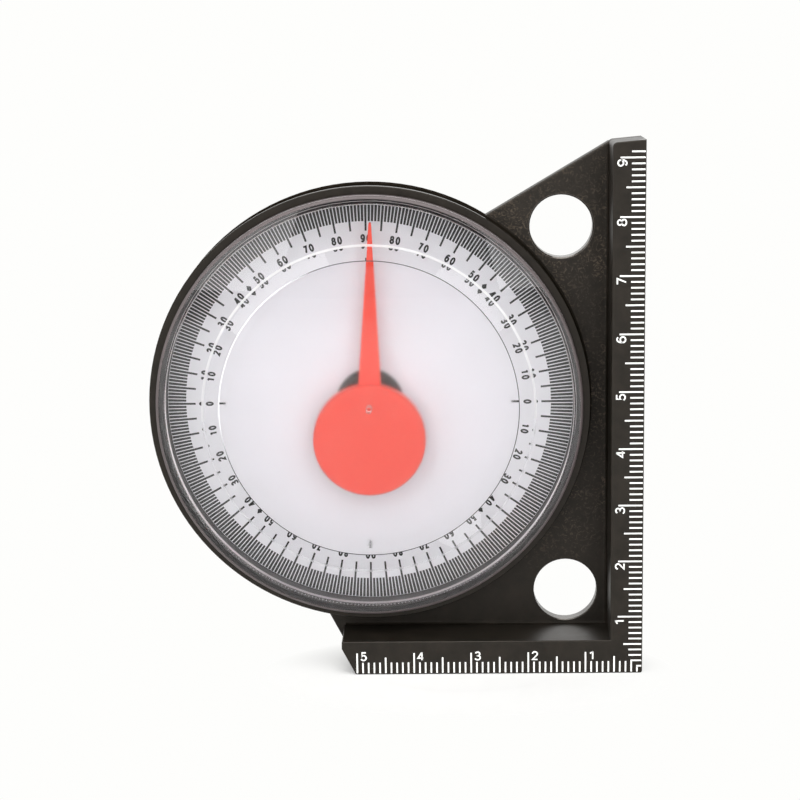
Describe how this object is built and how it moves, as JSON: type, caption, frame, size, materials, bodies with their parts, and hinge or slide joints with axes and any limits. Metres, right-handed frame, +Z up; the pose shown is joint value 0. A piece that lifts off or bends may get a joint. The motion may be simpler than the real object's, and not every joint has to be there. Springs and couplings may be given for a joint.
{
  "type": "pendulum angle gauge",
  "caption": "Pendulum angle gauge: a weighted pointer swings freely behind a domed lens over a round degree dial, on a black frame whose ruler edges meet in a square corner.",
  "frame": {"origin": "centre of the overall box's bottom face, on the plane that the base ruler rests on", "axes": "+Z up along the side ruler, +X right, towards the side ruler's outer face, +Y from the dial's face towards the flat back"},
  "size_m": [0.0856, 0.0124, 0.0933],
  "materials": {
    "black_plastic": "fine leather-like moulded grain",
    "dial_print": "satin",
    "clear_lens": "polished",
    "red_plastic": "satin",
    "steel": "turned",
    "brass": "turned",
    "magnet": "ground"
  },
  "bodies": {
    "housing": {"body": "black_plastic", "dial_card": "dial_print", "lens": "clear_lens", "pivot_pin": "steel", "base_magnet": "magnet", "side_magnet_lower": "magnet", "side_magnet_upper": "magnet"},
    "pendulum": {"pointer": "red_plastic", "pointer_bush": "brass", "counterweight": "steel"}
  },
  "joints": [
    {"name": "pointer_swing", "type": "hinge", "parent": "housing", "child": "pendulum", "pos_m": [-0.0044, 0, 0.047], "axis": [0, 1, 0], "continuous": true}
  ]
}
